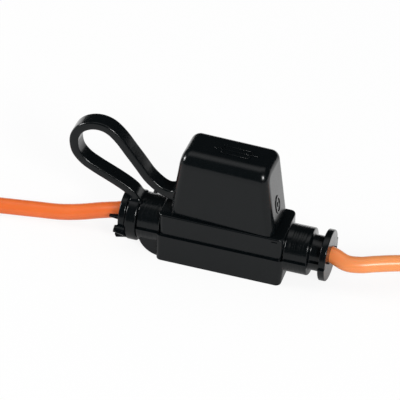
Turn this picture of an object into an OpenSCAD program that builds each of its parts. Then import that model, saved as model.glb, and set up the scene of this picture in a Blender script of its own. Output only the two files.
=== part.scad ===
// Inline holder for one 10.9 mm blade fuse, moulded over its two leads, with a tethered cap.
// Millimetres. X runs along the leads, Z is up, and z = 0 is the flat underside of the block.

/* [Body] */
// Length of the moulded block
body_l = 21.4; // [18:0.1:26]
// Width of the block's lower mould half
body_w = 8.9; // [7:0.1:11]
// Height of the block
body_h = 9.1; // [8.9:0.1:12]
// Height of the mould's parting line, which is also the leads' axis
part_z = 5.1; // [4.5:0.1:6]
// How far the upper mould half stands back from the lower one
part_step = 0.4; // [0:0.05:0.6]
// Radius of the block's upright corners
corner_r = 0.9; // [0.4:0.1:2]
// Radius of the bottom edge at the right end
heel_r = 2.2; // [0.5:0.1:3]
// Radius of the chin under the left neck
chin_r = 3.7; // [2:0.1:4]
// How far the centre of that radius stands inside the block's left end
chin_in = 0.7; // [0:0.1:1.5]
// Width of the chin
chin_w = 7.9; // [5:0.1:8]
// Clearance left round the parts that the body is moulded over
mould_gap = 0.04; // [0.02:0.01:0.2]

/* [Necks] */
// Radius of the collar next to the block
collar_r = 4.1; // [3.6:0.05:4.4]
// Length of the collar
collar_l = 3.5; // [2:0.05:6]
// Radius at the bottom of the groove
groove_r = 3.1; // [2.6:0.05:3.5]
// Width of the groove
groove_l = 1.95; // [1:0.05:3]
// Radius of the end flange
flange_r = 4.4; // [3.6:0.05:5]
// Thickness of the end flange
flange_l = 1.1; // [1:0.05:3]

/* [Cap] */
// Left end of the cap's base, from the block's middle
cap_left = 8.8; // [7.5:0.05:10]
// Right end of the cap's base, from the block's middle
cap_right = 8.8; // [7.5:0.05:10]
// Half width of the cap's base
cap_side = 3.85; // [3.5:0.05:4.4]
// How far the left end leans in towards the top
cap_lean_left = 1.8; // [0:0.05:3]
// How far the right end leans in towards the top
cap_lean_right = 1.55; // [0:0.05:3]
// How far each side leans in towards the top
cap_lean_side = 0.1; // [0:0.05:1]
// Height of the cap
cap_h = 12.2; // [11.8:0.1:16]
// Radius of the cap's edges
cap_r = 1.4; // [0.5:0.05:2]
// How far the cap sits behind the block's middle
cap_back = 0.3; // [0:0.05:0.5]
// How far the cap is twisted clockwise on the block, in degrees
cap_turn = 1.8; // [0:0.1:3]
// Clearance between the cap and the plug that it is pressed over
cap_fit = 0.1; // [0.05:0.01:0.3]

/* [Plug] */
// Half length of the plug on top of the block
plug_x = 6.3; // [6:0.05:7]
// Half width of the plug
plug_y = 2.45; // [2.2:0.05:3]
// Height of the plug
plug_h = 2; // [1:0.1:3]

/* [Fuse] */
// Length of the fuse's housing
fuse_l = 10.9; // [10.9:0.1:10.9]
// Thickness of the fuse's housing
fuse_t = 3.6; // [3.6:0.1:3.8]
// Height of the fuse's housing
fuse_h = 8.8; // [8.6:0.1:9]
// Width of one blade
blade_w = 2.8; // [2.8:0.1:2.8]
// Thickness of one blade
blade_t = 0.8; // [0.6:0.1:0.8]
// Length of the blade below the housing
blade_l = 7.4; // [7:0.1:7.6]
// Distance between the middles of the two blades
blade_pitch = 8.1; // [8:0.1:8.2]
// How far the blade reaches up inside the housing
blade_up = 6.9; // [6:0.1:7.4]
// Width of the open gap in the housing between the blades
window_w = 4.2; // [3:0.1:4.4]
// Height of that gap
window_h = 2.4; // [2:0.1:3]
// Clearance round the blade in the body's slot
slot_gap = 0.15; // [0.05:0.05:0.3]
// Clearance of the fuse in the cap
cap_room = 0.2; // [0.1:0.05:0.5]

/* [Terminals] */
// Thickness of the terminal's sheet metal
sheet_t = 0.4; // [0.3:0.05:0.5]
// Clearance of the blade in the terminal
blade_gap = 0.05; // [0.02:0.01:0.1]
// Height of the terminal's box
box_h = 6.8; // [6:0.1:7]
// Height of the terminal's lower end
box_z = 2; // [1.5:0.1:3]
// Clearance of the crimped barrels round the wire
crimp_gap = 0.03; // [0.01:0.01:0.1]

/* [Leads] */
// Radius of the lead's jacket
jacket_r = 1.33; // [1:0.01:1.6]
// Radius of the stranded conductor
core_r = 0.75; // [0.5:0.01:0.9]
// Clearance of the covered conductor in its jacket
core_gap = 0.03; // [0.01:0.01:0.1]
// Length of conductor bared at the free end
strip_l = 6; // [3:0.5:10]

/* [Strap] */
// Width of the strap
strap_w = 2.2; // [2:0.1:4]
// Thickness of the strap
strap_t = 1.1; // [0.8:0.05:1.6]
// Height of the lower side of the strap's root on the cap
root_z = 10.9; // [10:0.1:14]
// Height of the strap's root
root_h = 1.3; // [1:0.1:3]
// Outer radius of the ring round the neck
ring_r = 4.2; // [3.8:0.05:5]
// How far the middle of the ring's outside hangs below the leads' axis
ring_drop = 0.4; // [0:0.05:0.6]
// Clearance of the ring in the groove, to the side and inside
ring_gap = 0.06; // [0.03:0.01:0.2]

/* [Hidden] */
$fn = 40;

end_x = body_l / 2;
groove_x = end_x + collar_l;
flange_x = groove_x + groove_l;
tip_x = flange_x + flange_l;
blade_x = blade_pitch / 2;
seat_z = body_h + plug_h;
fuse_top = seat_z + fuse_h;
tip_z = seat_z - blade_l;
cap_top = body_h + cap_h;
box_in = [blade_w + 2 * blade_gap, blade_t + 2 * blade_gap];
box_out = [box_in[0] + 2 * sheet_t, box_in[1] + 2 * sheet_t];
box_side = blade_x + box_out[0] / 2;
core_crimp = [box_side + 0.55, box_side + 3.75];
skin_crimp = [box_side + 4.35, box_side + 6.35];
core_start = core_crimp[0] + 0.2;
jacket_start = skin_crimp[0] + 0.2;
crimp_out = core_r + crimp_gap + sheet_t;
skin_out = jacket_r + crimp_gap + sheet_t;
sides = 8;
lie_z = 1.36;

// Points along the left lead, from inside the block to the jacket's free end
left_way = [
    [-jacket_start, 0, part_z], [-14, 0, part_z], [-tip_x, 0, part_z], [-19, 0, 4.6], [-21.6, 0, 3.75],
    [-25, -0.25, 2.7], [-28.4, -0.4, 1.9], [-32.7, -0.6, 1.45], [-38, -1.35, lie_z],
    [-43, -2.2, lie_z], [-48, -2.9, lie_z], [-53, -3.3, lie_z], [-58, -3.4, lie_z],
    [-63, -3.2, lie_z], [-68, -3, lie_z], [-72, -3, lie_z]];

// Points along the right lead
right_way = [
    [jacket_start, 0, part_z], [14, 0, part_z], [tip_x, 0, part_z], [19.8, -0.4, 4.35], [22, 0, 4.2],
    [24.15, 1, 4.15], [27.4, 2.5, 4], [31, 4.2, 3.5], [35, 5.8, 2.6], [39, 7, 1.85],
    [43.5, 7.7, 1.45], [48, 7.9, lie_z], [53, 7.7, lie_z], [58, 7.2, lie_z], [63, 6.7, lie_z],
    [68, 6.5, lie_z], [72, 6.5, lie_z]];

// Points along the middle of the strap, from the cap to the ring, as x and z
strap_way = [
    [-9.7, 11.6], [-11, 12.2], [-12.6, 13.8], [-14.2, 15.9], [-15.9, 18.1], [-17.5, 20.1],
    [-19.2, 21.6], [-20.9, 22.1], [-22.6, 21.9], [-24.2, 20.9], [-25.2, 19.3], [-25.4, 17.7],
    [-25, 16], [-23.7, 14.5], [-21.9, 13.4], [-20.1, 12.5], [-18.5, 11.7], [-16.9, 10.7],
    [-15.8, 9.8], [-15.3, 9.1], [-15.2, 8]];

function unit(v) = v / norm(v);
function clamped(p, i) = p[max(0, min(len(p) - 1, i))];
function bend(a, b, c, d, t) = 0.5 * (2 * b + (c - a) * t + (2 * a - 5 * b + 4 * c - d) * t * t
    + (3 * b - a - 3 * c + d) * t * t * t);
function smooth(p, steps) = [
    for (i = [0 : len(p) - 2]) for (s = [0 : steps - 1])
        bend(clamped(p, i - 1), p[i], p[i + 1], clamped(p, i + 2), s / steps),
    p[len(p) - 1]];
function heading(p, i) = unit(clamped(p, i + 1) - clamped(p, i - 1));
function ring_at(p, i, r) =
    let (t = heading(p, i), u = unit(cross(t, [0, 0, 1])), v = cross(u, t))
    [for (k = [0 : sides - 1]) let (a = 360 * (k + 0.5) / sides) p[i] + r * (cos(a) * u + sin(a) * v)];
function wall(n, at, turn) = [
    for (i = [0 : n - 2]) for (k = [0 : sides - 1])
        let (a = at + i * sides + k, b = at + i * sides + (k + 1) % sides, c = b + sides, d = a + sides)
        each (turn ? [[a, b, c], [a, c, d]] : [[a, c, b], [a, d, c]])];
function disc_end(at, turn) = [
    for (k = [1 : sides - 2]) turn ? [at, at + k, at + k + 1] : [at, at + k + 1, at + k]];
function ring_end(a, b, turn) = [
    for (k = [0 : sides - 1]) let (m = (k + 1) % sides)
        each (turn ? [[a + k, a + m, b + m], [a + k, b + m, b + k]]
            : [[a + k, b + m, a + m], [a + k, b + k, b + m]])];
function normal2(p, i) = let (t = heading(p, i)) [-t[1], t[0]];

module along_x(r, x0, x1) {
    translate([x0, 0, part_z]) rotate([0, 90, 0]) cylinder(r = r, h = x1 - x0);
}

module rod(p, r) {
    n = len(p);
    polyhedron(
        points = [for (i = [0 : n - 1]) each ring_at(p, i, r)],
        faces = concat(wall(n, 0, true), disc_end(0, false), disc_end((n - 1) * sides, true)));
}

module tube(p, outer, inner) {
    n = len(p);
    last = (n - 1) * sides;
    hollow = n * sides;
    polyhedron(
        points = concat([for (i = [0 : n - 1]) each ring_at(p, i, outer)],
            [for (i = [0 : n - 1]) each ring_at(p, i, inner)]),
        faces = concat(wall(n, 0, true), wall(n, hollow, false),
            ring_end(0, hollow, false), ring_end(last, hollow + last, true)));
}

module plate(l, w, r) {
    translate([r - l / 2, r - w / 2]) square([l - 2 * r, w - 2 * r]);
    translate([-l / 2, r - w / 2]) square([l, w - 2 * r]);
    translate([r - l / 2, -w / 2]) square([l - 2 * r, w]);
    for (x = [-1, 1], y = [-1, 1]) translate([x * (l / 2 - r), y * (w / 2 - r)]) circle(r);
}

// One mould half's outer shape, less the set-back
module mould_half(back, z0, h) {
    translate([0, 0, z0]) linear_extrude(h) plate(body_l - 2 * back, body_w - 2 * back, corner_r);
}

module neck(back) {
    along_x(collar_r - back, end_x - 1, groove_x);
    along_x(groove_r - back, groove_x - 0.5, flange_x + 0.5);
    along_x(flange_r - back, flange_x, tip_x);
}

module necks_half(back, z0, h) {
    intersection() {
        union() {
            neck(back);
            mirror([1, 0, 0]) neck(back);
        }
        translate([-tip_x - 1, -6, z0]) cube([2 * tip_x + 2, 12, h]);
    }
}

module chin() {
    translate([chin_in - end_x, chin_w / 2, chin_r]) rotate([90, 0, 0]) linear_extrude(chin_w) {
        intersection() {
            circle(chin_r);
            translate([-chin_r, -chin_r]) square([chin_r + 1, chin_r]);
        }
        translate([-chin_r, -0.01]) square([chin_r + 1, 0.75]);
    }
}

module pocket() {
    translate([blade_x - box_out[0] / 2 - mould_gap, -box_out[1] / 2 - mould_gap, box_z - mould_gap])
        cube([box_out[0] + 2 * mould_gap, box_out[1] + 2 * mould_gap, box_h + 2 * mould_gap]);
    translate([blade_x - blade_w / 2 - slot_gap, -blade_t / 2 - slot_gap, box_z])
        cube([blade_w + 2 * slot_gap, blade_t + 2 * slot_gap, seat_z]);
    along_x(crimp_out + mould_gap, box_side - 0.5, skin_crimp[0] + 0.1);
    along_x(skin_out + mould_gap, core_crimp[1] - 0.2 - mould_gap, skin_crimp[1] + mould_gap);
    along_x(jacket_r + mould_gap, skin_crimp[1] - 0.1, tip_x + 1);
}

module holder_body() {
    color([0.05, 0.055, 0.06]) difference() {
        union() {
            mould_half(0, 0, part_z);
            mould_half(part_step, part_z - 0.01, body_h - part_z + 0.01);
            necks_half(0, 0, part_z);
            necks_half(part_step, part_z - 0.01, 8);
            chin();
            translate([0, 0, body_h - 0.01]) linear_extrude(plug_h + 0.01)
                plate(2 * plug_x, 2 * plug_y, 0.6);
        }
        translate([end_x - heel_r, -body_w, 0]) difference() {
            translate([0, 0, -1]) cube([heel_r + 0.2, 2 * body_w, heel_r + 1]);
            translate([0, -1, heel_r]) rotate([-90, 0, 0]) cylinder(r = heel_r, h = 2 * body_w + 2);
        }
        pocket();
        mirror([1, 0, 0]) pocket();
    }
}

module cap_shell() {
    translate([0, cap_back, 0]) rotate([0, 0, -cap_turn]) hull() {
        for (y = [-1, 1]) {
            translate([cap_r - cap_left, y * (cap_side - cap_r), body_h]) cylinder(r = cap_r, h = 0.3);
            translate([cap_right - cap_r, y * (cap_side - cap_r), body_h]) cylinder(r = cap_r, h = 0.3);
            translate([cap_lean_left + cap_r - cap_left, y * (cap_side - cap_lean_side - cap_r),
                cap_top - cap_r]) sphere(r = cap_r);
            translate([cap_right - cap_lean_right - cap_r, y * (cap_side - cap_lean_side - cap_r),
                cap_top - cap_r]) sphere(r = cap_r);
        }
    }
}

module cap() {
    color([0.05, 0.055, 0.06]) difference() {
        cap_shell();
        translate([0, 0, body_h - 1]) linear_extrude(1 + plug_h + cap_room)
            plate(2 * (plug_x + cap_fit), 2 * (plug_y + cap_fit), 0.6);
        translate([0, 0, body_h]) linear_extrude(fuse_top + cap_room - body_h)
            plate(fuse_l + 2 * cap_room, fuse_t + 2 * cap_room, 0.4);
    }
}

module cap_strap() {
    way = smooth(strap_way, 3);
    n = len(way);
    under = [for (i = [0 : n - 1]) way[i] + strap_t / 2 * normal2(way, i)];
    over = [for (i = [n - 1 : -1 : 0]) way[i] - strap_t / 2 * normal2(way, i)];
    root = [[1.5 - cap_left, root_z + root_h], [1.5 - cap_left, root_z]];
    color([0.05, 0.055, 0.06]) difference() {
        translate([0, strap_w / 2, 0]) rotate([90, 0, 0]) linear_extrude(strap_w)
            polygon(concat(over, root, under));
        translate([-0.01, 0, 0]) cap_shell();
        translate([0, 0, -ring_drop]) along_x(ring_r + 0.01, -20, -10);
    }
}

module strap_ring() {
    color([0.05, 0.055, 0.06]) difference() {
        translate([0, 0, -ring_drop]) along_x(ring_r, ring_gap - flange_x, -groove_x - ring_gap);
        along_x(groove_r + ring_gap, -flange_x, -groove_x);
    }
}

module fuse_housing() {
    color([0.1, 0.3, 0.75, 0.8]) difference() {
        translate([0, 0, seat_z]) linear_extrude(fuse_h) plate(fuse_l, fuse_t, 0.4);
        translate([-window_w / 2, -fuse_t, seat_z - 1]) cube([window_w, 2 * fuse_t, window_h + 1]);
        for (x = [-blade_x, blade_x]) {
            translate([x - blade_w / 2 - 0.05, -blade_t / 2 - 0.05, seat_z - 1])
                cube([blade_w + 0.1, blade_t + 0.1, blade_up + 1.05]);
            translate([x - 0.8, -blade_t / 2 - 0.05, seat_z + 6]) cube([1.6, blade_t + 0.1, 3]);
        }
        translate([-blade_x, -0.3, seat_z + window_h + 1]) cube([blade_pitch, 0.6, 3.6]);
    }
}

module fuse_element() {
    color([0.75, 0.76, 0.78]) translate([0, blade_t / 2, 0]) rotate([90, 0, 0]) union() {
        for (s = [-1, 1]) linear_extrude(blade_t) translate([s * blade_x, 0]) polygon([
            [-blade_w / 2, tip_z + 0.8], [0.5 - blade_w / 2, tip_z], [blade_w / 2 - 0.5, tip_z],
            [blade_w / 2, tip_z + 0.8], [blade_w / 2, seat_z + blade_up], [-blade_w / 2, seat_z + blade_up]]);
        translate([0, 0, blade_t / 2 - 0.2]) linear_extrude(0.4) polygon([
            [-3, seat_z + 4], [-1.2, seat_z + 4], [0, seat_z + 5.6], [1.2, seat_z + 4],
            [3, seat_z + 4], [3, seat_z + 4.8], [1.6, seat_z + 4.8], [0.4, seat_z + 6.4],
            [-0.4, seat_z + 6.4], [-1.6, seat_z + 4.8], [-3, seat_z + 4.8]]);
    }
}

module terminal() {
    color([0.8, 0.79, 0.74]) {
        difference() {
            union() {
                translate([blade_x - box_out[0] / 2, -box_out[1] / 2, box_z])
                    cube([box_out[0], box_out[1], box_h]);
                translate([box_side - 0.2, -box_out[1] / 2, part_z - 0.6]) cube([0.95, sheet_t, 1.2]);
                along_x(crimp_out, core_crimp[0], core_crimp[1]);
                translate([core_crimp[1] - 0.2, -crimp_out - 0.25, part_z - 0.6]) cube([1, 0.45, 1.2]);
                along_x(skin_out, skin_crimp[0], skin_crimp[1]);
            }
            translate([blade_x - box_in[0] / 2, -box_in[1] / 2, box_z + sheet_t])
                cube([box_in[0], box_in[1], box_h]);
            translate([blade_x - 0.15, 0, box_z - 1]) cube([0.3, box_out[1], box_h + 2]);
            along_x(core_r + crimp_gap, core_crimp[0] + 0.1, core_crimp[1] + 0.1);
            along_x(jacket_r + crimp_gap, skin_crimp[0] + 0.1, skin_crimp[1] + 1);
            along_x(core_r + crimp_gap, core_crimp[1] - 0.3, skin_crimp[1]);
        }
    }
}

module left_terminal() {
    mirror([1, 0, 0]) terminal();
}

module right_terminal() {
    terminal();
}

// dir is the way the bared end points, along x
module conductor(way, start, dir) {
    end = way[len(way) - 1];
    color([0.8, 0.5, 0.3]) union() {
        rod(concat([start], smooth(way, 2), [end + [0.5 * dir, 0, 0]]), core_r - core_gap);
        translate(end) rotate([0, 90 * dir, 0]) cylinder(r = core_r, h = strip_l);
    }
}

module jacket(way) {
    color([0.95, 0.35, 0.08]) tube(smooth(way, 2), jacket_r, core_r);
}

module left_conductor() {
    conductor(left_way, [-core_start, 0, part_z], -1);
}

module right_conductor() {
    conductor(right_way, [core_start, 0, part_z], 1);
}

module left_jacket() {
    jacket(left_way);
}

module right_jacket() {
    jacket(right_way);
}

holder_body();
cap();
cap_strap();
strap_ring();
fuse_housing();
fuse_element();
left_terminal();
right_terminal();
left_conductor();
right_conductor();
left_jacket();
right_jacket();
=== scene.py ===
"""Looks for the inline fuse holder: soft black mouldings on two orange leads, on a white table."""

import logging
import math
from dataclasses import dataclass, field
from enum import Enum
from typing import Any, Callable, Sequence

import bmesh
import bpy
from mathutils import Matrix, Vector


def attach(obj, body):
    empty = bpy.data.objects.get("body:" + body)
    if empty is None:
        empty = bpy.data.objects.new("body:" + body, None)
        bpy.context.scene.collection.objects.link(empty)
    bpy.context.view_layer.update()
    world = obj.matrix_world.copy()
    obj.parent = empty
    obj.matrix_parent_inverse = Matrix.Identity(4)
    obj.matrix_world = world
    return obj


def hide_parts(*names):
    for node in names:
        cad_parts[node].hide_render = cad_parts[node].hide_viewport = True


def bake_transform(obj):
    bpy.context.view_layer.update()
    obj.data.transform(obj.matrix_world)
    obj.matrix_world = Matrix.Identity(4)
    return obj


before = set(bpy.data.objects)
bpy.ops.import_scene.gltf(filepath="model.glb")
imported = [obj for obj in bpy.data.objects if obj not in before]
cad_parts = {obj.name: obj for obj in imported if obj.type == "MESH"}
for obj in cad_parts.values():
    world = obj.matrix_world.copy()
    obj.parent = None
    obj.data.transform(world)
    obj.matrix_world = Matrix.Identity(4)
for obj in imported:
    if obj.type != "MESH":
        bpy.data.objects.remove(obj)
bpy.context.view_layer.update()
LOG = logging.getLogger("fuse_holder")
MM = 0.001

Point = tuple[float, float, float]
Flat = tuple[float, float]


class Body(Enum):
    """The two CAD bodies that a piece can ride on."""

    HOLDER = "holder"
    CAP = "cap"


class Side(Enum):
    """Which way along X a piece stands from the block."""

    LEFT = -1
    RIGHT = 1


# Small helpers


def linear(code: str) -> tuple[float, float, float, float]:
    """Turns an sRGB hex code into the linear colour that a shader takes.

    Args:
        code: The colour as "#rrggbb".

    Returns:
        The linear red, green, blue and an alpha of 1.
    """
    parts = [int(code[i : i + 2], 16) / 255 for i in (1, 3, 5)]
    red, green, blue = (p / 12.92 if p <= 0.04045 else ((p + 0.055) / 1.055) ** 2.4 for p in parts)
    return (red, green, blue, 1.0)


def metres(p: Sequence[float]) -> Vector:
    """Turns a point in millimetres into a vector in metres."""
    return Vector([c * MM for c in p])


def curved(p: Sequence[Sequence[float]], steps: int) -> list[Vector]:
    """Runs a smooth curve through points, as part.scad does.

    Args:
        p: The points to pass through, in millimetres.
        steps: How many pieces each stretch between two points gets.

    Returns:
        The points of the curve, in millimetres.
    """
    v = [Vector(q) for q in p]
    out: list[Vector] = []
    for i in range(len(v) - 1):
        a, b, c, d = v[max(i - 1, 0)], v[i], v[i + 1], v[min(i + 2, len(v) - 1)]
        for s in range(steps):
            t = s / steps
            bent = 2 * a - 5 * b + 4 * c - d
            twisted = 3 * b - a - 3 * c + d
            out.append(0.5 * (2 * b + (c - a) * t + bent * t**2 + twisted * t**3))
    out.append(v[-1])
    return out


def edges_where(bm: bmesh.types.BMesh, test: Callable[[Vector, Vector], bool]) -> list[bmesh.types.BMEdge]:
    """Finds the edges whose two ends pass a test, given in millimetres."""
    return [e for e in bm.edges if test(e.verts[0].co / MM, e.verts[1].co / MM)]


def rounded(bm: bmesh.types.BMesh, edges: Sequence[bmesh.types.BMEdge], radius: float, segments: int) -> None:
    """Rounds edges of a bmesh.

    Args:
        bm: The mesh.
        edges: The edges to round.
        radius: The radius in millimetres.
        segments: How many facets the rounding gets.
    """
    bmesh.ops.bevel(
        bm, geom=list(edges), offset=radius * MM, offset_type="OFFSET", affect="EDGES",
        segments=segments, profile=0.5, material=-1, clamp_overlap=True,
    )


def block(bm: bmesh.types.BMesh, low: Point, high: Point) -> list[bmesh.types.BMVert]:
    """Adds a box between two corners given in millimetres, and returns its vertices."""
    made = bmesh.ops.create_cube(bm, size=1.0)["verts"]
    a, b = metres(low), metres(high)
    size = b - a
    bmesh.ops.scale(bm, verts=made, vec=size)
    bmesh.ops.translate(bm, verts=made, vec=(a + b) / 2)
    return made


def sink(bm: bmesh.types.BMesh, way: Point, low: Point, high: Point, depth: float) -> None:
    """Sinks a rectangular recess into a flat side.

    Args:
        bm: The mesh.
        way: The way that the side faces.
        low: The lowest corner of a box round the recess, in millimetres.
        high: The box's highest corner.
        depth: How deep the recess is, in millimetres.
    """
    out = Vector(way)
    for i in range(3):
        if abs(out[i]) > 0.5:
            continue
        normal = Vector([float(i == k) for k in range(3)])
        for level in (low[i], high[i]):
            whole = bm.verts[:] + bm.edges[:] + bm.faces[:]
            bmesh.ops.bisect_plane(
                bm, geom=whole, dist=2e-6, plane_co=normal * level * MM, plane_no=normal
            )
    bm.normal_update()
    inside: list[bmesh.types.BMFace] = []
    for face in bm.faces:
        middle = face.calc_center_median() / MM
        if face.normal.dot(out) > 0.9 and all(low[i] < middle[i] < high[i] for i in range(3)):
            inside.append(face)
    grown = bmesh.ops.extrude_face_region(bm, geom=inside)["geom"]
    sunk = [v for v in grown if isinstance(v, bmesh.types.BMVert)]
    bmesh.ops.translate(bm, verts=sunk, vec=-out * depth * MM)
    bmesh.ops.delete(bm, geom=inside, context="FACES_ONLY")
    bmesh.ops.dissolve_degenerate(bm, edges=bm.edges[:], dist=2e-6)
    bmesh.ops.remove_doubles(bm, verts=bm.verts, dist=2e-6)


def merged(parts: Sequence[bmesh.types.BMesh]) -> bmesh.types.BMesh:
    """Joins several bmeshes into one and frees them."""
    whole = bmesh.new()
    for part in parts:
        data = bpy.data.meshes.new("part")
        part.to_mesh(data)
        whole.from_mesh(data)
        bpy.data.meshes.remove(data)
        part.free()
    return whole


def turned(
    profile: Sequence[Flat], start: float, sweep: float, steps: int, axis_z: float, closed: bool
) -> bmesh.types.BMesh:
    """Turns a profile about the leads' axis.

    Args:
        profile: Points as distance along X and radius, in millimetres.
        start: The angle at which the profile starts, in degrees, where 0 is +Y.
        sweep: How far it turns, in degrees.
        steps: How many facets the turn gets.
        axis_z: The axis's height, in millimetres.
        closed: Whether the profile's last point joins its first.

    Returns:
        The turned mesh, its doubles merged and its normals outward.
    """
    bm = bmesh.new()
    a = math.radians(start)
    verts = [
        bm.verts.new(metres((x, r * math.cos(a), axis_z + r * math.sin(a)))) for x, r in profile
    ]
    pairs = list(zip(verts, verts[1:])) + ([(verts[-1], verts[0])] if closed else [])
    edges = [bm.edges.new(p) for p in pairs]
    full = abs(sweep) >= 360
    bmesh.ops.spin(
        bm, geom=verts + edges, cent=metres((0, 0, axis_z)), axis=(1, 0, 0), dvec=(0, 0, 0),
        angle=math.radians(sweep), steps=steps, use_merge=full, use_duplicate=False,
    )
    bmesh.ops.remove_doubles(bm, verts=bm.verts, dist=1e-6)
    return bm


def corner(at: Flat, before: Flat, after: Flat, radius: float, steps: int = 4) -> list[Flat]:
    """Rounds one corner of a flat profile.

    Args:
        at: The sharp corner.
        before: The profile's point before it.
        after: The profile's point after it.
        radius: The rounding's radius.
        steps: How many facets the rounding gets.

    Returns:
        The points that replace the corner.
    """
    p = Vector(at)
    u, v = (Vector(before) - p).normalized(), (Vector(after) - p).normalized()
    half = u.angle(v) / 2
    reach = radius / math.tan(half)
    centre = p + (u + v).normalized() * (radius / math.sin(half))
    a, b = p + u * reach - centre, p + v * reach - centre
    out: list[Flat] = []
    for i in range(steps + 1):
        w = a.lerp(b, i / steps).normalized() * radius + centre
        out.append((w.x, w.y))
    return out


def rounded_profile(points: Sequence[tuple[float, float, float]]) -> list[Flat]:
    """Rounds the corners of an open profile whose points are x, radius and corner radius."""
    out: list[Flat] = []
    for i, (x, r, c) in enumerate(points):
        if c <= 0 or i in (0, len(points) - 1):
            out.append((x, r))
        else:
            out += corner((x, r), points[i - 1][:2], points[i + 1][:2], c)
    return out


def piece(
    bm: bmesh.types.BMesh, name: str, skin: bpy.types.Material, sharp: float = 50.0
) -> bpy.types.Object:
    """Makes an object of a finished bmesh.

    Args:
        bm: The mesh, which is freed.
        name: The object's name.
        skin: Its material.
        sharp: The angle above which an edge stays sharp, in degrees.

    Returns:
        The object, linked to the scene and at the origin.
    """
    bmesh.ops.recalc_face_normals(bm, faces=bm.faces)
    data = bpy.data.meshes.new(name)
    bm.to_mesh(data)
    bm.free()
    data.shade_smooth()
    data.set_sharp_from_angle(angle=math.radians(sharp))
    data.materials.append(skin)
    obj = bpy.data.objects.new(name, data)
    bpy.context.scene.collection.objects.link(obj)
    weighted = obj.modifiers.new("even_shading", "WEIGHTED_NORMAL")
    weighted.keep_sharp = True
    weighted.weight = 100
    return obj


# Finishes


def add_node(
    tree: bpy.types.NodeTree, kind: str, links: dict[str, Any] | None = None, **settings: Any
) -> Any:
    """Adds one shader node with its settings and its links.

    Args:
        tree: The node tree.
        kind: The node's type name.
        links: Input name to a number, a colour or another node's output.
        settings: Properties of the node itself.

    Returns:
        The node.
    """
    made = tree.nodes.new(kind)
    for key, value in settings.items():
        setattr(made, key, value)
    for key, value in (links or {}).items():
        socket = made.inputs[int(key)] if key.isdigit() else made.inputs[key]
        if isinstance(value, bpy.types.NodeSocket):
            tree.links.new(value, socket)
        else:
            socket.default_value = value
    return made


def noise(tree: bpy.types.NodeTree, size_mm: float, detail: float) -> bpy.types.NodeSocket:
    """Adds a noise whose blotches are as wide as a real size in millimetres."""
    at = add_node(tree, "ShaderNodeTexCoord").outputs["Object"]
    links = {"Vector": at, "Scale": 1 / (size_mm * MM), "Detail": detail}
    return add_node(tree, "ShaderNodeTexNoise", links).outputs["Fac"]


def between(
    tree: bpy.types.NodeTree, value: bpy.types.NodeSocket, low: float, high: float
) -> bpy.types.NodeSocket:
    """Spreads a noise's middle range over two numbers."""
    links = {"Value": value, "From Min": 0.3, "From Max": 0.7, "To Min": low, "To Max": high}
    return add_node(tree, "ShaderNodeMapRange", links).outputs["Result"]


def tinted(
    tree: bpy.types.NodeTree, value: bpy.types.NodeSocket, one: str, other: str
) -> bpy.types.NodeSocket:
    """Mixes two sRGB colours by a noise."""
    links = {"Factor": value, "6": linear(one), "7": linear(other)}
    return add_node(tree, "ShaderNodeMix", links, data_type="RGBA").outputs[2]


def fresh(name: str) -> tuple[bpy.types.Material, bpy.types.NodeTree]:
    """Makes an empty node material."""
    made = bpy.data.materials.new(name)
    made.use_nodes = True
    made.node_tree.nodes.clear()
    return made, made.node_tree


@dataclass(frozen=True)
class MouldedPvc:
    """Soft black PVC, injection moulded in a polished tool."""

    name: str = "soft_pvc_moulded"
    colour: str = "#05090b"
    dusty: str = "#090d0f"
    rough: Flat = (0.17, 0.25)
    wave_mm: float = 3.0
    grain_mm: float = 0.35

    def make(self) -> bpy.types.Material:
        """Builds the material."""
        # Glossy and nearly black: what the eye sees is mostly the table and the lamps, slightly blurred
        skin, tree = fresh(self.name)
        wave = noise(tree, self.wave_mm, 2.0)
        grain = noise(tree, self.grain_mm, 3.0)
        low = add_node(tree, "ShaderNodeBump", {"Height": wave, "Strength": 0.2, "Distance": 0.05 * MM})
        fine = add_node(
            tree, "ShaderNodeBump",
            {"Height": grain, "Strength": 0.2, "Distance": 0.006 * MM, "Normal": low.outputs["Normal"]},
        )
        shade = add_node(
            tree, "ShaderNodeBsdfPrincipled",
            {
                "Base Color": tinted(tree, wave, self.colour, self.dusty),
                "Roughness": between(tree, grain, *self.rough), "IOR": 1.45, "Normal": fine.outputs["Normal"],
            },
        )
        add_node(tree, "ShaderNodeOutputMaterial", {"Surface": shade.outputs["BSDF"]})
        return skin


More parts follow.
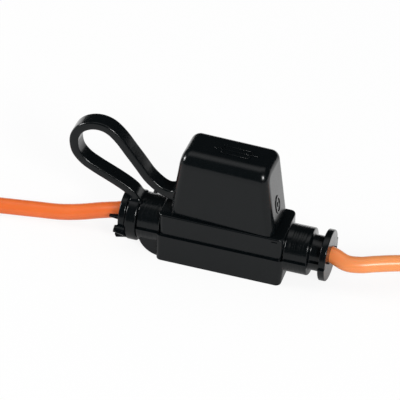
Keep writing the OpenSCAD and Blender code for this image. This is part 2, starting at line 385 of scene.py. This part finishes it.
@dataclass(frozen=True)
class ExtrudedPvc:
    """Orange PVC wire covering, extruded."""

    name: str = "orange_pvc_extruded"
    colour: str = "#ea7434"
    deep: str = "#de6629"
    painted_highlight_tint: str = "#f69a5a"
    rough: float = 0.3
    blotch_mm: float = 4.0
    grain_mm: float = 0.5

    def make(self) -> bpy.types.Material:
        """Builds the material."""
        # Satin and a little cloudy, with a soft highlight along the wire; the right lead is painted paler, a
        # painted highlight for the stronger light that falls on it
        skin, tree = fresh(self.name)
        blotch = noise(tree, self.blotch_mm, 2.0)
        grain = noise(tree, self.grain_mm, 2.0)
        bump = add_node(tree, "ShaderNodeBump", {"Height": grain, "Strength": 0.25, "Distance": 0.015 * MM})
        # Painted highlight: from 10 mm to 24 mm along X the orange turns to a paler tint, standing in for the
        # light on the right lead
        at = add_node(tree, "ShaderNodeTexCoord").outputs["Object"]
        along = add_node(tree, "ShaderNodeSeparateXYZ", {"Vector": at}).outputs["X"]
        links = {"Value": along, "From Min": 10 * MM, "From Max": 24 * MM}
        painted_highlight_share = add_node(tree, "ShaderNodeMapRange", links).outputs["Result"]
        links = {
            "Factor": painted_highlight_share, "6": tinted(tree, blotch, self.colour, self.deep), "7": linear(self.painted_highlight_tint),
        }
        cover = add_node(tree, "ShaderNodeMix", links, data_type="RGBA").outputs[2]
        shade = add_node(
            tree, "ShaderNodeBsdfPrincipled",
            {
                "Base Color": cover,
                "Roughness": self.rough, "IOR": 1.53, "Normal": bump.outputs["Normal"],
                "Subsurface Weight": 0.15, "Subsurface Scale": 0.5 * MM,
            },
        )
        add_node(tree, "ShaderNodeOutputMaterial", {"Surface": shade.outputs["BSDF"]})
        return skin


@dataclass(frozen=True)
class Metal:
    """A worked metal: drawn copper, tinned brass or stamped zinc."""

    name: str
    colour: str
    rough: float
    grain_mm: float = 0.2

    def make(self) -> bpy.types.Material:
        """Builds the material."""
        # Bright, with the faint grain that rolling and drawing leave
        skin, tree = fresh(self.name)
        grain = noise(tree, self.grain_mm, 3.0)
        bump = add_node(tree, "ShaderNodeBump", {"Height": grain, "Strength": 0.2, "Distance": 0.01 * MM})
        shade = add_node(
            tree, "ShaderNodeBsdfPrincipled",
            {
                "Base Color": linear(self.colour), "Metallic": 1.0,
                "Roughness": between(tree, grain, self.rough * 0.8, self.rough * 1.3),
                "Normal": bump.outputs["Normal"],
            },
        )
        add_node(tree, "ShaderNodeOutputMaterial", {"Surface": shade.outputs["BSDF"]})
        return skin


@dataclass(frozen=True)
class ClearPlastic:
    """Blue clear plastic of the fuse's housing, injection moulded."""

    name: str = "clear_blue_moulded"
    colour: str = "#2f6fd8"
    deep: str = "#2a62c8"
    rough: float = 0.12
    wave_mm: float = 2.0

    def make(self) -> bpy.types.Material:
        """Builds the material."""
        # Tinted and glossy, with the slight waves of a thin moulded wall
        skin, tree = fresh(self.name)
        wave = noise(tree, self.wave_mm, 1.0)
        bump = add_node(tree, "ShaderNodeBump", {"Height": wave, "Strength": 0.2, "Distance": 0.03 * MM})
        shade = add_node(
            tree, "ShaderNodeBsdfPrincipled",
            {
                "Base Color": tinted(tree, wave, self.colour, self.deep),
                "Roughness": self.rough, "IOR": 1.58, "Transmission Weight": 0.75,
                "Normal": bump.outputs["Normal"],
            },
        )
        add_node(tree, "ShaderNodeOutputMaterial", {"Surface": shade.outputs["BSDF"]})
        return skin


# The object


@dataclass
class HolderMoulding:
    """The overmoulded block with its necks, chin and plug, in millimetres."""

    skin: bpy.types.Material
    length: float = 21.4
    width: float = 8.9
    height: float = 9.1
    axis_z: float = 5.1
    step: float = 0.4
    upright_r: float = 0.9
    heel_r: float = 2.2
    heel_lean: float = 0.5
    chin_r: float = 3.9
    chin_in: float = 0.7
    chin_w: float = 7.2
    collar: Flat = (4.1, 3.5)
    groove: Flat = (3.1, 1.95)
    flange: Flat = (4.4, 1.1)
    wire_r: float = 1.3
    plug: Point = (6.3, 2.45, 2.0)
    blade: Flat = (4.05, 1.55)

    def lower(self) -> bmesh.types.BMesh:
        """Builds the lower mould half of the block."""
        bm = bmesh.new()
        x, y = self.length / 2, self.width / 2
        foot = [v for v in block(bm, (-x, -y, 0), (x, y, self.axis_z)) if v.co.x > 0 and v.co.z < MM]
        bmesh.ops.translate(bm, verts=foot, vec=(-self.heel_lean * MM, 0, 0))
        x -= self.heel_lean
        rounded(bm, edges_where(bm, lambda a, b: abs(a.z - b.z) > 1), self.upright_r, 6)
        base = edges_where(bm, lambda a, b: max(a.z, b.z) < 0.01)
        heel = [e for e in base if min(v.co.x for v in e.verts) > (x - 0.01) * MM]
        rounded(bm, heel, self.heel_r, 10)
        painted_glow_level = x - self.heel_r - 0.1
        rim = edges_where(bm, lambda a, b: max(a.z, b.z) < 0.01 and min(a.x, b.x) < painted_glow_level)
        rounded(bm, [e for e in rim if e.calc_face_angle(0) > 0.8], 0.3, 3)
        top = edges_where(bm, lambda a, b: min(a.z, b.z) > self.axis_z - 0.01)
        rounded(bm, top, 0.07, 2)
        return bm

    def upper(self) -> bmesh.types.BMesh:
        """Builds the upper mould half of the block with the plug on it."""
        bm = bmesh.new()
        x, y = self.length / 2 - self.step, self.width / 2 - self.step
        block(bm, (-x, -y, self.axis_z - 0.2), (x, y, self.height))
        rounded(bm, edges_where(bm, lambda a, b: abs(a.z - b.z) > 1), self.upright_r, 6)
        rounded(bm, edges_where(bm, lambda a, b: min(a.z, b.z) > self.height - 0.01), 0.22, 4)
        sink(bm, (0, -1, 0), (8.45, -y - 1, 8.45), (9.4, -y + 1, 8.66), 0.2)
        return bm

    def plug_block(self) -> bmesh.types.BMesh:
        """Builds the plug that the cap grips, with the slots for the fuse's blades."""
        bm = bmesh.new()
        x, y, h = self.plug
        top = self.height + h
        block(bm, (-x, -y, self.height - 0.3), (x, y, top))
        rounded(bm, edges_where(bm, lambda a, b: abs(a.z - b.z) > 1), 0.6, 5)
        rounded(bm, edges_where(bm, lambda a, b: min(a.z, b.z) > top - 0.01), 0.2, 3)
        cx, half = self.blade
        for middle in (-cx, cx):
            sink(bm, (0, 0, 1), (middle - half, -0.55, top - 0.01), (middle + half, 0.55, top + 0.01), 2.2)
        return bm

    def neck(self, side: Side) -> bmesh.types.BMesh:
        """Builds one neck: collar, groove and flange, as two mould halves with the parting step."""
        s = float(side.value)
        root = self.length / 2
        a = root + self.collar[1]
        b = a + self.groove[1]
        c = b + self.flange[1]
        halves: list[bmesh.types.BMesh] = []
        for start, back, flare in ((180.0, 0.0, 0.0), (0.0, self.step, 0.22)):
            rc, rg, rf = self.collar[0] - back, self.groove[0] - back, self.flange[0] - back
            foot = root - back
            outline = [(foot - 0.9, rc, 0)]
            if flare > 0:
                outline = [(foot + 0.004, rc + flare, 0), (foot + 0.004, rc, flare * 0.95)]
            outline += [(root + 0.5 + d, rc - cut, 0) for d, cut in self.tool_marks(a - root - 0.9)]
            outline += [(a, rc, 0.22), (a, rg, 0.3), (b, rg, 0.3)]
            outline += [(b, rf, 0.18), (c, rf, 0.2), (c, self.wire_r, 0)]
            line = [(s * x, r) for x, r in rounded_profile(outline)]
            half = turned(line, start, 180.0, 40, self.axis_z, False)
            self.close_parting(half)
            halves.append(half)
        return merged(halves)

    def tool_marks(self, length: float) -> list[Flat]:
        """Gives the fine rings that the turned tool left round a collar, as distance and depth."""
        marks: list[Flat] = []
        for at in (0.0, 0.42, 0.78, 1.3, 1.62, 2.1):
            if at + 0.12 < length:
                marks += [(at, 0.0), (at + 0.04, 0.018), (at + 0.08, 0.018), (at + 0.12, 0.0)]
        return marks

    def close_parting(self, half: bmesh.types.BMesh) -> None:
        """Closes a half neck along the parting plane with a flat face across it."""
        level = self.axis_z
        flat = edges_where(half, lambda a, b: abs(a.z - level) < 0.001 and abs(b.z - level) < 0.001)
        bmesh.ops.bridge_loops(half, edges=flat)
        bmesh.ops.holes_fill(half, edges=[e for e in half.edges if e.is_boundary], sides=0)

    def chin(self) -> bmesh.types.BMesh:
        """Builds the quarter-round chin under the left neck."""
        bm = bmesh.new()
        x = -self.length / 2
        left = x + self.chin_in - self.chin_r
        block(bm, (left, -self.chin_w / 2, 0), (x + 1, self.chin_w / 2, self.chin_r + 0.7))
        edge = edges_where(bm, lambda a, b: max(a.z, b.z) < 0.01 and max(a.x, b.x) < left + 0.01)
        rounded(bm, edge, self.chin_r, 12)
        outside = self.chin_w / 2 - 0.01
        sides = edges_where(bm, lambda a, b: abs(a.y - b.y) < 0.01 and abs(a.y) > outside)
        rim = [e for e in sides if max(v.co.x for v in e.verts) < (x + 0.9) * MM]
        rounded(bm, [e for e in rim if min(v.co.z for v in e.verts) < (self.chin_r + 0.4) * MM], 0.3, 3)
        return bm

    def flash(self) -> bmesh.types.BMesh:
        """Builds the thin ragged flash that the mould left at its parting line."""
        bm = bmesh.new()
        z = self.axis_z
        flakes = (
            ((-17.2, -2.0, z), (-19.2, -2.1, z - 0.1), 1.7),
            ((-16.8, -4.0, z - 0.5), (-17.7, -4.2, z - 0.3), 1.9),
            ((-16.8, -3.8, z - 1.3), (-17.9, -4.1, z - 1.1), 2.2),
            ((-16.8, -3.5, z - 1.9), (-17.6, -3.9, z - 2.0), 2.0),
            ((-16.8, -3.0, z - 2.5), (-17.7, -3.5, z - 2.9), 2.2),
            ((-16.8, -2.4, z - 3.1), (-17.4, -2.8, z - 3.4), 1.8),
            ((17.2, -2.2, z), (17.6, -2.3, z), 0.8),
            ((17.2, 1.9, z), (17.65, 2.0, z), 0.7),
            ((-12.9, 2.3, z + 2.8), (-13.0, 2.7, z + 3.3), 1.1),
        )
        for base, tip, wide in flakes:
            made = bmesh.ops.create_cone(
                bm, cap_ends=True, segments=8, radius1=wide / 2 * MM, radius2=wide / 5 * MM,
                depth=(Vector(tip) - Vector(base)).length * MM + 0.6 * MM,
            )["verts"]
            way = (Vector(tip) - Vector(base)).normalized()
            turn = way.to_track_quat("Z", "Y").to_matrix().to_4x4()
            middle = (metres(base) - way * 0.6 * MM + metres(tip)) / 2
            bmesh.ops.transform(bm, matrix=Matrix.Translation(middle) @ turn, verts=made)
            bmesh.ops.scale(bm, vec=(1, 1, 0.5), space=Matrix.Translation(-middle), verts=made)
        return bm

    def build(self) -> bpy.types.Object:
        """Builds the whole moulding and puts it in place of its CAD node."""
        parts = [self.lower(), self.upper(), self.plug_block(), self.chin(), self.flash()]
        parts += [self.neck(Side.LEFT), self.neck(Side.RIGHT)]
        obj = piece(merged(parts), "holder_moulding", self.skin, 40.0)
        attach(obj, Body.HOLDER.value)
        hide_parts("holder_body")
        return obj


@dataclass
class Cap:
    """The pull-off cap, in millimetres."""

    skin: bpy.types.Material
    base: Flat = (-8.8, 8.8)
    top: Flat = (-7.0, 7.25)
    side: Flat = (3.85, 3.78)
    low: float = 9.1
    high: float = 21.3
    edge_r: float = 1.4
    brow_r: float = 2.4
    back: float = 0.3
    turn: float = 1.8
    plug_room: Point = (6.4, 2.55, 2.2)
    fuse_room: Point = (5.65, 2.0, 20.1)

    def shell(self) -> bmesh.types.BMesh:
        """Builds the tapered block with its rounded edges and its two-step hollow."""
        bm = bmesh.new()
        block(bm, (self.base[0], -self.side[0], self.low), (self.base[1], self.side[0], self.high))
        for v in bm.verts:
            if v.co.z > (self.high - 0.1) * MM:
                v.co.x = (self.top[0] if v.co.x < 0 else self.top[1]) * MM
                v.co.y = math.copysign(self.side[1] * MM, v.co.y)
        long = edges_where(bm, lambda a, b: min(a.z, b.z) > self.high - 0.1 and abs(a.x - b.x) > 9)
        rounded(bm, [e for e in long if e.verts[0].co.y < 0], self.brow_r, 12)
        long = edges_where(bm, lambda a, b: min(a.z, b.z) > self.high - 0.1 and min(a.y, b.y) > 3)
        rounded(bm, [e for e in long if (e.verts[0].co - e.verts[1].co).length > 9 * MM], self.edge_r, 10)
        bm.normal_update()
        ends = [f for f in bm.faces if abs(f.normal.x) > 0.8]
        rims = {e for f in ends for e in f.edges if max(v.co.z for v in e.verts) > (self.low + 0.1) * MM}
        rounded(bm, list(rims), self.edge_r, 10)
        bmesh.ops.transform(bm, matrix=self.seat(), verts=bm.verts)
        down = [f for f in bm.faces if f.normal.z < -0.9]
        foot = [f for f in down if f.calc_center_median().z < (self.low + 0.1) * MM]
        self.hollow(bm, foot)
        rim = edges_where(bm, lambda a, b: max(a.z, b.z) < self.low + 0.01 and (a - b).length > 0.01)
        rounded(bm, [e for e in rim if e.calc_face_angle(0) > 0.8 and not self.inner(e)], 0.14, 3)
        return bm

    def seat(self) -> Matrix:
        """Gives the cap's slight twist and set-back on the block."""
        twist = Matrix.Rotation(-math.radians(self.turn), 4, "Z")
        return Matrix.Translation((0, self.back * MM, 0)) @ twist

    def inner(self, edge: bmesh.types.BMEdge) -> bool:
        """Says whether a rim edge is the hollow's, and not the outside's."""
        middle = (edge.verts[0].co + edge.verts[1].co) / 2 / MM
        return abs(middle.x) < self.plug_room[0] + 0.05 and abs(middle.y) < self.plug_room[1] + 0.05

    def hollow(self, bm: bmesh.types.BMesh, foot: list[bmesh.types.BMFace]) -> None:
        """Sinks the hollow for the plug and the fuse into the foot face."""
        x, y, deep = self.plug_room
        room = foot
        for half_x, half_y, level in ((x, y, self.low + deep), self.fuse_room):
            bmesh.ops.inset_region(bm, faces=room, thickness=0.35 * MM, use_even_offset=True)
            for v in {v for f in room for v in f.verts}:
                v.co.x = max(-half_x * MM, min(half_x * MM, v.co.x))
                v.co.y = max(-half_y * MM, min(half_y * MM, v.co.y))
            grown = bmesh.ops.extrude_face_region(bm, geom=room)["geom"]
            old, room = room, [g for g in grown if isinstance(g, bmesh.types.BMFace)]
            bmesh.ops.delete(bm, geom=old, context="FACES_ONLY")
            for v in {v for f in room for v in f.verts}:
                v.co.z = level * MM
        bmesh.ops.dissolve_degenerate(bm, edges=bm.edges[:], dist=2e-6)
        bmesh.ops.remove_doubles(bm, verts=bm.verts, dist=2e-6)

    def sign(self) -> bmesh.types.BMesh:
        """Builds the raised fuse sign on the cap's top: a bar through an open rectangle."""
        bm = bmesh.new()
        z = self.high
        cx, cy = 1.0, 0.2
        half_x, half_y, line = 2.3, 0.9, 0.28
        for y in (-half_y, half_y):
            block(bm, (cx - half_x, cy + y - line / 2, z - 0.2), (cx + half_x, cy + y + line / 2, z + 0.13))
        for x in (-half_x, half_x):
            block(bm, (cx + x - line / 2, cy - half_y, z - 0.2), (cx + x + line / 2, cy + half_y, z + 0.13))
        block(bm, (cx - half_x - 1.3, cy - line / 2, z - 0.2), (cx + half_x + 1.3, cy + line / 2, z + 0.13))
        rounded(bm, edges_where(bm, lambda a, b: min(a.z, b.z) > z), 0.05, 2)
        bmesh.ops.transform(bm, matrix=self.seat(), verts=bm.verts)
        return bm

    def gate(self) -> bmesh.types.BMesh:
        """Builds the oval mark of the mould's gate on the right end, with a nib in its middle."""
        level = self.low + 4.1
        lean = (self.base[1] - self.top[1]) / (self.high - self.low)
        x = self.base[1] - lean * (level - self.low)
        ridge = [(x - 0.3, 0.98), (x + 0.13, 0.94), (x + 0.13, 0.7), (x - 0.3, 0.66)]
        nib = [(x - 0.3, 0.0), (x - 0.3, 0.3), (x + 0.14, 0.24), (x + 0.18, 0.0)]
        bm = merged([turned(ridge, 0, 360, 32, 0, True), turned(nib, 0, 360, 20, 0, False)])
        tilt = Matrix.Translation((x * MM, 0, 0)) @ Matrix.Rotation(-math.atan(lean), 4, "Y")
        place = Matrix.Translation((0, -0.3 * MM, level * MM)) @ tilt @ Matrix.Diagonal((1, 1, 1.8, 1))
        bmesh.ops.transform(bm, matrix=place @ Matrix.Translation((-x * MM, 0, 0)), verts=bm.verts)
        bmesh.ops.transform(bm, matrix=self.seat(), verts=bm.verts)
        return bm

    def build(self) -> bpy.types.Object:
        """Builds the cap and puts it in place of its CAD node."""
        obj = piece(merged([self.shell(), self.sign(), self.gate()]), "cap_moulding", self.skin, 40.0)
        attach(obj, Body.CAP.value)
        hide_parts("cap")
        return obj


@dataclass
class Tether:
    """The strap from the cap to the neck, and the ring that holds it, in millimetres."""

    skin: bpy.types.Material
    width: float = 2.7
    thick: float = 1.5
    ring: Flat = (3.16, 4.2)
    drop: float = 0.4
    ring_x: Flat = (-16.09, -14.26)
    axis_z: float = 5.1
    way: list[Flat] = field(
        default_factory=lambda: [
            (-8.2, 11.3), (-9.8, 11.35), (-11.2, 11.9), (-13, 13.45), (-14.55, 15.6),
            (-16.2, 17.85), (-17.7, 19.9), (-19.3, 21.4), (-20.9, 21.95), (-22.6, 21.75),
            (-24.2, 20.8), (-25.2, 19.2), (-25.4, 17.6), (-25, 15.85), (-23.7, 14.3),
            (-21.9, 13.2), (-20.1, 12.3), (-18.5, 11.5), (-16.9, 10.6), (-15.8, 9.8),
            (-15.3, 9.1), (-15.2, 8.5),
        ]
    )

    def section(self, grow: float) -> list[Flat]:
        """Gives the strap's cross-section as points across its thickness and its width."""
        t, w, r = self.thick / 2 * grow, self.width / 2 * (1 + 0.35 * (grow - 1)), 0.32
        out: list[Flat] = []
        for sx, sy, start in ((1, 1, 0), (-1, 1, 90), (-1, -1, 180), (1, -1, 270)):
            for i in range(4):
                a = math.radians(start + 30 * i)
                out.append((sx * (t - r) + r * math.cos(a), sy * (w - r) + r * math.sin(a)))
        return out

    def strap(self) -> list[bpy.types.Object]:
        """Builds the strap in two pieces that meet at the loop's outer side.

        Each piece's place is baked into its mesh, and the CAD strap is hidden.

        Returns:
            The two pieces.
        """
        line = curved([(x, 0.0, z) for x, z in self.way], 4)
        split = min(range(len(line)), key=lambda i: line[i].x)
        upper = self.run(line, 0, split, "strap_loop")
        lower = self.run(line, split, len(line) - 1, "strap_foot")
        for obj, start, end in (
            (upper, (-8.2, 0, 6.0), (-8.2, 0, 8.0)),
            (lower, (-15.3, 0, 9.2), (-25.0, 0, 16.0)),
        ):
            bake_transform(obj)
            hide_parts("cap_strap")
        return [upper, lower]

    def run(self, line: list[Vector], first: int, last: int, name: str) -> bpy.types.Object:
        """Carries the section along a part of the strap's line.

        Args:
            line: The strap's whole line, in millimetres.
            first: The index at which this piece starts.
            last: The index at which it ends.
            name: The piece's name.

        Returns:
            The finished piece.
        """
        bm = bmesh.new()
        face = None
        length = len(line)
        for i in range(first, last + 1):
            p = line[i]
            ahead = (line[min(i + 1, length - 1)] - line[max(i - 1, 0)]).normalized()
            across = Vector((-ahead.z, 0, ahead.x))
            near = min(i, length - 1 - i) / 5
            grow = 1 + 0.9 * max(0.0, 1 - near) ** 2
            spots = [metres(p + across * t + Vector((0, w, 0))) for t, w in self.section(grow)]
            if face is None:
                face = bm.faces.new([bm.verts.new(s) for s in spots])
                continue
            grown = bmesh.ops.extrude_face_region(bm, geom=[face], use_keep_orig=i == first + 1)["geom"]
            new = next(g for g in grown if isinstance(g, bmesh.types.BMFace))
            if i > first + 1:
                bmesh.ops.delete(bm, geom=[face], context="FACES_ONLY")
            face = new
            for v, s in zip(self.matched(face, bm), spots):
                v.co = s
        bmesh.ops.remove_doubles(bm, verts=bm.verts, dist=1e-7)
        return piece(bm, name, self.skin, 60.0)

    @staticmethod
    def matched(face: bmesh.types.BMFace, bm: bmesh.types.BMesh) -> list[bmesh.types.BMVert]:
        """Lists a face's vertices in the order in which they were first made."""
        bm.verts.index_update()
        return sorted(face.verts, key=lambda v: v.index)

    def ring_piece(self) -> bpy.types.Object:
        """Builds the ring round the left neck, which is thicker below than above."""
        low, high = self.ring_x
        inner, outer = self.ring
        line: list[Flat] = []
        sharp = [(low, inner), (low, outer), (high, outer), (high, inner)]
        for i, p in enumerate(sharp):
            line += corner(p, sharp[i - 1], sharp[(i + 1) % 4], 0.3 if p[1] == outer else 0.1)
        bm = turned(line, 0, 360, 64, self.axis_z, True)
        for v in bm.verts:
            r = math.hypot(v.co.y / MM, v.co.z / MM - self.axis_z)
            v.co.z -= self.drop * (r - inner) / (outer - inner) * MM
        obj = piece(bm, "ring_moulding", self.skin, 60.0)
        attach(obj, Body.HOLDER.value)
        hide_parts("strap_ring")
        return obj


@dataclass
class Lead:
    """One orange lead with its bared end, in millimetres."""

    side: Side
    cover: bpy.types.Material
    copper: bpy.types.Material
    way: list[Point]
    radius: float = 1.33
    core_r: float = 0.75
    bare: float = 6.0
    exit_x: float = 17.25
    axis_z: float = 5.1

    @property
    def name(self) -> str:
        """The side's name in lower case."""
        return self.side.name.lower()

    def strands(self) -> bpy.types.Object:
        """Builds the bared end as a twisted bundle of fine strands."""
        data = bpy.data.curves.new(f"{self.name}_strands", "CURVE")
        data.dimensions = "3D"
        data.bevel_depth = 0.13 * MM
        data.bevel_resolution = 1
        data.use_fill_caps = True
        end = Vector(self.way[-1])
        way = float(self.side.value)
        for count, r in ((1, 0.0), (6, 0.29), (12, 0.58)):
            for k in range(count):
                spline = data.splines.new("POLY")
                spline.points.add(12)
                for i in range(13):
                    a = 2 * math.pi * k / count + 0.9 * math.pi * i / 12
                    x = end.x + way * ((self.bare + 0.4) * i / 12 - 0.4)
                    p = metres((x, end.y + r * math.cos(a), end.z + r * math.sin(a)))
                    spline.points[i].co = (*p, 1)
        obj = bpy.data.objects.new(f"{self.name}_strands", data)
        bpy.context.scene.collection.objects.link(obj)
        data.materials.append(self.copper)
        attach(obj, Body.HOLDER.value)
        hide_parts(f"{self.name}_conductor")
        return obj

    def build(self) -> bpy.types.Object:
        """Builds the covered lead as a round tube on one smooth line."""
        line = curved(self.way, 5)
        data = bpy.data.curves.new(f"{self.name}_lead", "CURVE")
        data.dimensions = "3D"
        data.bevel_depth = self.radius * MM
        data.bevel_resolution = 7
        data.use_fill_caps = True
        spline = data.splines.new("POLY")
        spline.points.add(len(line) - 1)
        for point, p in zip(spline.points, line):
            point.co = (*metres(p), 1)
        spline.use_smooth = True
        obj = bpy.data.objects.new(f"{self.name}_lead", data)
        bpy.context.scene.collection.objects.link(obj)
        data.materials.append(self.cover)
        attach(obj, Body.HOLDER.value)
        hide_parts(f"{self.name}_jacket")
        self.strands()
        return obj


LEFT_WAY: list[Point] = [
    (-10.45, 0, 5.1), (-14, 0, 5.1), (-17.25, 0, 5.1), (-19, 0, 4.6), (-21.6, 0, 3.75),
    (-25, -0.25, 2.7), (-28.4, -0.4, 1.9), (-32.7, -0.6, 1.45), (-38, -1.35, 1.36),
    (-43, -2.2, 1.36), (-48, -2.9, 1.36),
    (-53, -3.3, 1.36), (-58, -3.4, 1.36), (-63, -3.2, 1.36), (-68, -3, 1.36), (-72, -3, 1.36),
]
RIGHT_WAY: list[Point] = [
    (10.45, 0, 5.1), (14, 0, 5.1), (17.25, 0, 5.1), (19.8, -0.4, 4.35), (22, 0, 4.2), (24.15, 1, 4.15),
    (27.4, 2.5, 4), (31, 4.2, 3.5), (35, 5.8, 2.6), (39, 7, 1.85), (43.5, 7.7, 1.45), (48, 7.9, 1.36),
    (53, 7.7, 1.36), (58, 7.2, 1.36), (63, 6.7, 1.36), (68, 6.5, 1.36), (72, 6.5, 1.36),
]


# The set


@dataclass
class Studio:
    """The white table, the lights and the camera at the photograph's angle."""

    azimuth: float = 16.6
    elevation: float = 41.2
    roll: float = 1.35
    distance: float = 0.4
    px_per_mm: float = 6.2
    origin_px: Flat = (226.65, 255.6)
    room: float = 0.42
    dark: float = 0.02
    top_watts: float = 0.2
    side_watts: float = 2.8

    def camera(self) -> None:
        """Places the camera so that the CAD origin falls on its point of the photograph."""
        a, e, r = (math.radians(v) for v in (self.azimuth, self.elevation, self.roll))
        back = Vector((math.sin(a) * math.cos(e), -math.cos(a) * math.cos(e), math.sin(e)))
        right = Vector((math.cos(a), math.sin(a), 0))
        up = back.cross(right)
        side = math.cos(r) * right + math.sin(r) * up
        top = -math.sin(r) * right + math.cos(r) * up
        eye = back * self.distance
        dx, dy = (200 - self.origin_px[0]), (200 - self.origin_px[1])
        target = (side * dx - top * dy) / self.px_per_mm * MM
        z = (eye - target).normalized()
        x = top.cross(z).normalized()
        y = z.cross(x)
        data = bpy.data.cameras.new("camera")
        data.sensor_width = 36
        data.sensor_fit = "HORIZONTAL"
        data.lens = self.px_per_mm * self.distance / MM / 400 * 36
        data.clip_start, data.clip_end = 0.01, 20
        cam = bpy.data.objects.new("camera", data)
        cam.matrix_world = Matrix((
            (x.x, y.x, z.x, eye.x), (x.y, y.y, z.y, eye.y), (x.z, y.z, z.z, eye.z), (0, 0, 0, 1),
        ))
        bpy.context.scene.collection.objects.link(cam)
        bpy.context.scene.camera = cam

    def table(self) -> None:
        """Lays the white table, which shows white to the camera, keeps the shadow, and glows
        brighter towards the back in what the mouldings mirror, a painted reflection."""
        bm = bmesh.new()
        bmesh.ops.create_grid(bm, x_segments=1, y_segments=1, size=3.0)
        data = bpy.data.meshes.new("table")
        bm.to_mesh(data)
        bm.free()
        skin, tree = fresh("white_card")
        path = add_node(tree, "ShaderNodeLightPath")
        surface = add_node(tree, "ShaderNodeBsdfDiffuse", {"Color": linear("#f4f4f4")}).outputs[0]
        # Painted light: for glossy rays the table glows from 0.2 in front of the object to 1.5 behind it, a
        # painted reflection of a lit table
        at = add_node(tree, "ShaderNodeTexCoord").outputs["Object"]
        depth = add_node(tree, "ShaderNodeSeparateXYZ", {"Vector": at}).outputs["Y"]
        links = {"Value": depth, "From Min": -4 * MM, "From Max": 12 * MM, "To Min": 0.2, "To Max": 1.5}
        painted_glow_level = add_node(tree, "ShaderNodeMapRange", links).outputs["Result"]
        for ray, share, glow in (("Is Glossy Ray", 0.6, painted_glow_level), ("Is Camera Ray", 0.88, 1.0)):
            links = {"0": path.outputs[ray], "1": share}
            part = add_node(tree, "ShaderNodeMath", links, operation="MULTIPLY")
            light = add_node(tree, "ShaderNodeEmission", {"Color": (1, 1, 1, 1), "Strength": glow})
            links = {"0": part.outputs[0], "1": surface, "2": light.outputs[0]}
            surface = add_node(tree, "ShaderNodeMixShader", links).outputs[0]
        add_node(tree, "ShaderNodeOutputMaterial", {"Surface": surface})
        data.materials.append(skin)
        obj = bpy.data.objects.new("table", data)
        bpy.context.scene.collection.objects.link(obj)

    def sky(self) -> None:
        """Lights the room evenly, keeps it dark in what the glossy mouldings mirror, and shows it
        white to the camera."""
        world = bpy.data.worlds.new("room")
        bpy.context.scene.world = world
        world.use_nodes = True
        tree = world.node_tree
        tree.nodes.clear()
        path = add_node(tree, "ShaderNodeLightPath")
        links = {"Value": path.outputs["Is Glossy Ray"], "To Min": self.room, "To Max": self.dark}
        level = add_node(tree, "ShaderNodeMapRange", links).outputs["Result"]
        links = {"0": level, "1": path.outputs["Is Camera Ray"]}
        shown = add_node(tree, "ShaderNodeMath", links, operation="MAXIMUM")
        links = {"Color": (1, 1, 1, 1), "Strength": shown.outputs[0]}
        light = add_node(tree, "ShaderNodeBackground", links)
        add_node(tree, "ShaderNodeOutputWorld", {"Surface": light.outputs[0]})

    def lamp(self, name: str, at: Point, size: Flat, watts: float) -> None:
        """Adds one soft lamp that faces the object.

        Args:
            name: The lamp's name.
            at: Its place, in millimetres.
            size: Its two sides, in millimetres.
            watts: Its power.
        """
        data = bpy.data.lights.new(name, "AREA")
        data.shape = "RECTANGLE"
        data.size, data.size_y = size[0] * MM, size[1] * MM
        data.energy = watts
        obj = bpy.data.objects.new(name, data)
        place = metres(at)
        obj.location = place
        obj.rotation_euler = (place - Vector((0, 0, 0.008))).to_track_quat("Z", "Y").to_euler()
        bpy.context.scene.collection.objects.link(obj)

    def build(self) -> None:
        """Builds the set."""
        self.camera()
        self.table()
        self.sky()
        self.lamp("top_lamp", (-24, 80, 600), (900, 470), 2 * self.top_watts)
        self.lamp("inner_top_lamp", (-20, 66, 590), (700, 240), self.top_watts)
        self.lamp("left_lamp", (-650, -140, 280), (180, 180), self.side_watts)
        self.lamp("right_lamp", (400, -440, 400), (180, 180), self.side_watts)
        bpy.context.scene.view_settings.view_transform = "Standard"


def dress(node: str, skin: bpy.types.Material) -> None:
    """Gives a CAD node that stays in sight its material."""
    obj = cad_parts[node]
    obj.data.materials.clear()
    obj.data.materials.append(skin)


def main() -> None:
    """Builds every piece in order."""
    logging.basicConfig(level=logging.INFO, format="%(name)s: %(message)s")
    Studio().build()
    black = MouldedPvc().make()
    orange = ExtrudedPvc().make()
    copper = Metal("copper_strand_drawn", "#d98a5c", 0.32).make()
    for lead in (
        Lead(Side.LEFT, orange, copper, LEFT_WAY),
        Lead(Side.RIGHT, orange, copper, RIGHT_WAY),
    ):
        LOG.info("built %s", lead.build().name)
    LOG.info("built %s", HolderMoulding(black).build().name)
    LOG.info("built %s", Cap(black).build().name)
    tether = Tether(black)
    for strap in tether.strap():
        LOG.info("built %s", strap.name)
    LOG.info("built %s", tether.ring_piece().name)
    tinned = Metal("tinned_brass_stamped", "#c9c6bd", 0.3).make()
    zinc = Metal("zinc_stamped", "#b9bcc0", 0.35).make()
    for node, skin in (
        ("left_terminal", tinned), ("right_terminal", tinned), ("fuse_element", zinc),
        ("fuse_housing", ClearPlastic().make()),
    ):
        dress(node, skin)
        LOG.info("dressed %s", node)


if __name__ == "__main__":
    main()
